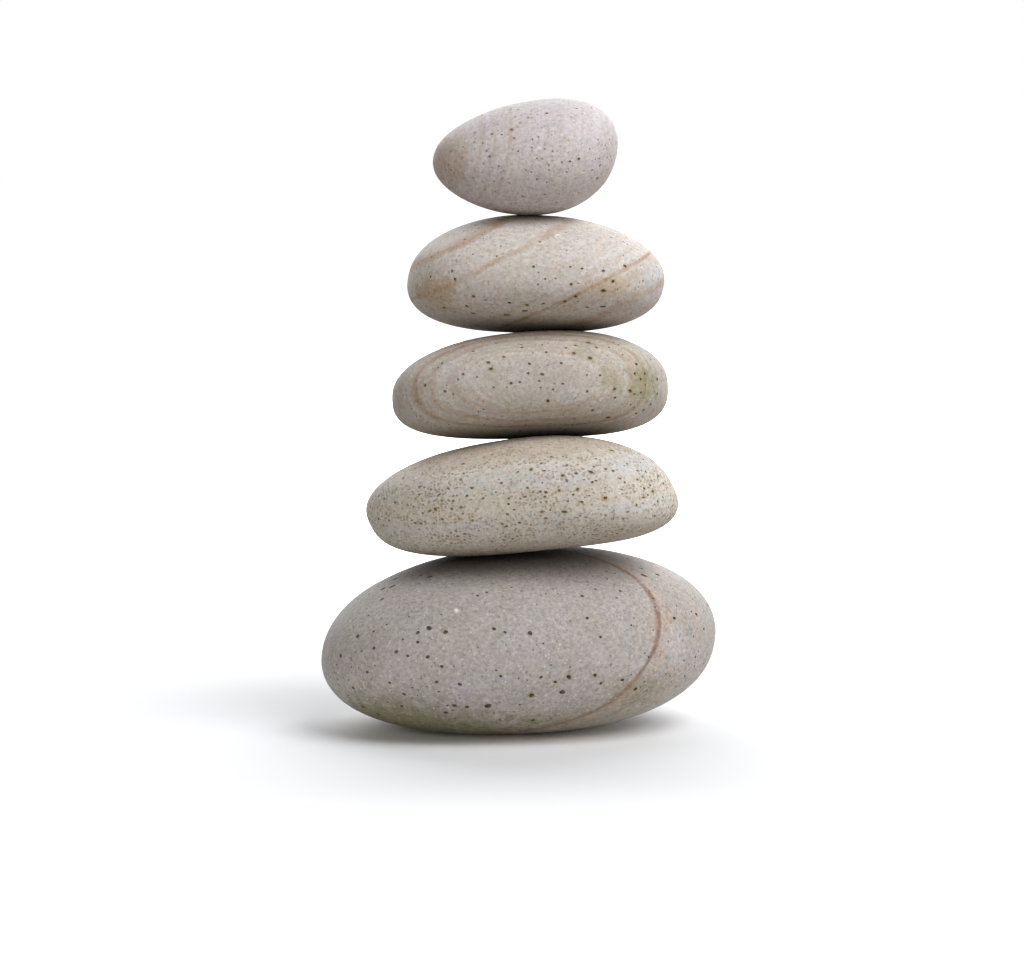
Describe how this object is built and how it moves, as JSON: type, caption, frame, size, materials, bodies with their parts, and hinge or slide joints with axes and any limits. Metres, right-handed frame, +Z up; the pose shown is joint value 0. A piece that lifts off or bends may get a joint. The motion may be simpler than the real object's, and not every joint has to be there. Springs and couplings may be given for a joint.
{
  "type": "stone cairn",
  "caption": "Free-standing cairn of smooth, pitted, water-worn pebbles balanced one on another, with the largest and roundest at the bottom.",
  "frame": {"origin": "on the ground, under the middle of the stack's bounding box", "axes": "+Z up, +X to the right along the stones' length, +Y away from the viewer of the near face"},
  "size_m": [0.1208, 0.0994, 0.1916],
  "materials": {
    "base_stone": "matt, water-worn sandstone, lilac grey with one rust vein",
    "second_stone": "matt, water-worn sandstone, buff grey, closely pitted",
    "third_stone": "matt, water-worn sandstone, tan grey with faint rings and green algae",
    "fourth_stone": "matt, water-worn sandstone, pale buff with ochre veins",
    "top_stone": "matt, water-worn sandstone, pale lilac grey"
  },
  "bodies": {
    "root": {"base_stone": "base_stone", "second_stone": "second_stone", "third_stone": "third_stone", "fourth_stone": "fourth_stone", "top_stone": "top_stone"}
  },
  "joints": []
}
